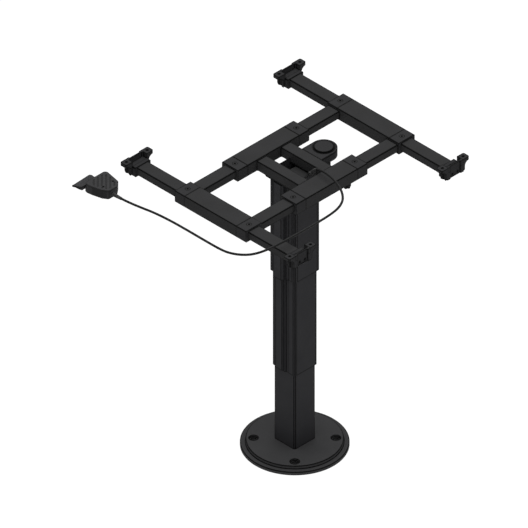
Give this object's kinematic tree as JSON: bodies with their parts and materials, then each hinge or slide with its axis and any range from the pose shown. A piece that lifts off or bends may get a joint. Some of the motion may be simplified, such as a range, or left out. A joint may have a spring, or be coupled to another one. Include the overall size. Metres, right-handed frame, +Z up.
{
  "type": "lifting column",
  "caption": "Electric telescopic lifting column on a round floor flange, with a sliding table frame, end brackets, motor, and a cabled hand switch.",
  "frame": {"origin": "centre of the floor flange's underside, on the column's axis", "axes": "+Z up along the column, -Y towards the track rib on the column's front, +X towards the sleeve with the lock knob"},
  "size_m": [0.5499, 0.6812, 0.7716],
  "materials": {
    "black_coat": "textured black powder coat",
    "black_anodised": "satin black anodised extrusion",
    "cast_black": "black painted die casting",
    "guide_plastic": "matt black nylon",
    "glide_plastic": "natural acetal",
    "switch_plastic": "fine grained black plastic",
    "paddle_plastic": "fine grained dark grey plastic",
    "black_steel": "black oxide",
    "bright_steel": "turned, lightly oiled",
    "bronze": "turned bronze",
    "copper": "enamelled winding",
    "belt_rubber": "matt black",
    "cable_jacket": "satin dark grey jacket"
  },
  "bodies": {
    "base": {"base_flange": "black_coat", "base_screws": "black_steel", "lower_tube": "black_anodised", "lower_glides": "glide_plastic", "stand_tube": "bright_steel", "lower_nut": "bronze"},
    "middle_stage": {"middle_tube": "black_anodised", "middle_glides": "glide_plastic", "screw_carrier": "cast_black", "upper_nut": "bronze", "carrier_bearing": "bright_steel", "bearing_retainer": "bright_steel"},
    "hollow_screw": {"hollow_screw": "bright_steel"},
    "drive_screw": {"drive_screw": "bright_steel", "screw_pulley": "bright_steel"},
    "motor_rotor": {"motor_rotor": "bright_steel", "motor_pulley": "bright_steel"},
    "head": {"top_tube": "black_anodised", "bearing_plate": "cast_black", "head_bearing": "bright_steel", "front_crossbar": "black_coat", "rear_crossbar": "black_coat", "left_sleeve": "black_coat", "right_sleeve": "black_coat", "central_guides": "guide_plastic", "central_clamp_screws": "black_steel", "belt_case": "guide_plastic", "belt_cover": "guide_plastic", "drive_belt": "belt_rubber", "motor_case": "cast_black", "motor_lid": "cast_black", "motor_stator": "copper", "cable_glands": "guide_plastic", "cable": "cable_jacket", "switch_housing": "switch_plastic", "switch_lid": "switch_plastic", "switch_contacts": "switch_plastic", "paddle_pin": "bright_steel"},
    "lock_knob": {"lock_knob": "guide_plastic"},
    "paddle": {"paddle": "paddle_plastic"},
    "front_extension": {"front_sleeve": "black_coat", "front_left_rail": "black_coat", "front_right_rail": "black_coat", "front_guides": "guide_plastic", "front_clamp_screws": "black_steel"},
    "front_left_arm": {"front_left_arm": "black_coat", "front_left_bracket": "cast_black"},
    "front_right_arm": {"front_right_arm": "black_coat", "front_right_bracket": "cast_black"},
    "rear_extension": {"rear_sleeve": "black_coat", "rear_left_rail": "black_coat", "rear_right_rail": "black_coat", "rear_guides": "guide_plastic", "rear_clamp_screws": "black_steel"},
    "rear_left_arm": {"rear_left_arm": "black_coat", "rear_left_bracket": "cast_black"},
    "rear_right_arm": {"rear_right_arm": "black_coat", "rear_right_bracket": "cast_black"}
  },
  "joints": [
    {"name": "middle_lift", "type": "slide", "parent": "base", "child": "middle_stage", "axis": [0, 0, 1], "range_m": [-0.17, 0]},
    {"name": "head_lift", "type": "slide", "parent": "middle_stage", "child": "head", "axis": [0, 0, 1], "range_m": [-0.17, 0]},
    {"name": "hollow_screw_turn", "type": "hinge", "parent": "middle_stage", "child": "hollow_screw", "pos_m": [0, 0, 0.476], "axis": [0, 0, 1], "range_deg": [-3825, 0]},
    {"name": "drive_screw_turn", "type": "hinge", "parent": "head", "child": "drive_screw", "pos_m": [0, 0, 0.693], "axis": [0, 0, 1], "range_deg": [-3825, 0]},
    {"name": "motor_turn", "type": "hinge", "parent": "head", "child": "motor_rotor", "pos_m": [0, 0.09, 0.738], "axis": [0, 0, 1], "range_deg": [-7650, 0]},
    {"name": "front_slide", "type": "slide", "parent": "head", "child": "front_extension", "axis": [0, 1, 0], "range_m": [-0.012, 0.06]},
    {"name": "rear_slide", "type": "slide", "parent": "head", "child": "rear_extension", "axis": [0, -1, 0], "range_m": [-0.012, 0.06]},
    {"name": "front_left_arm_slide", "type": "slide", "parent": "front_extension", "child": "front_left_arm", "axis": [1, 0, 0], "range_m": [-0.012, 0.065]},
    {"name": "front_right_arm_slide", "type": "slide", "parent": "front_extension", "child": "front_right_arm", "axis": [-1, 0, 0], "range_m": [-0.012, 0.065]},
    {"name": "rear_left_arm_slide", "type": "slide", "parent": "rear_extension", "child": "rear_left_arm", "axis": [1, 0, 0], "range_m": [-0.012, 0.065]},
    {"name": "rear_right_arm_slide", "type": "slide", "parent": "rear_extension", "child": "rear_right_arm", "axis": [-1, 0, 0], "range_m": [-0.012, 0.065]},
    {"name": "lock_knob_turn", "type": "hinge", "parent": "head", "child": "lock_knob", "pos_m": [0.09, 0.07, 0.706], "axis": [0, 0, 1], "range_deg": [0, 180]},
    {"name": "paddle_tilt", "type": "hinge", "parent": "head", "child": "paddle", "pos_m": [-0.257, -0.3655, 0.749], "axis": [0, 1, 0], "range_deg": [-8, 8], "stiffness_Nm_per_rad": 0.6}
  ],
  "couplings": [
    {"joint": "head_lift", "follows": "middle_lift", "ratio": 1},
    {"joint": "hollow_screw_turn", "follows": "middle_lift", "rad_per_m": 392.7},
    {"joint": "drive_screw_turn", "follows": "middle_lift", "rad_per_m": 392.7},
    {"joint": "motor_turn", "follows": "middle_lift", "rad_per_m": 785.4}
  ]
}
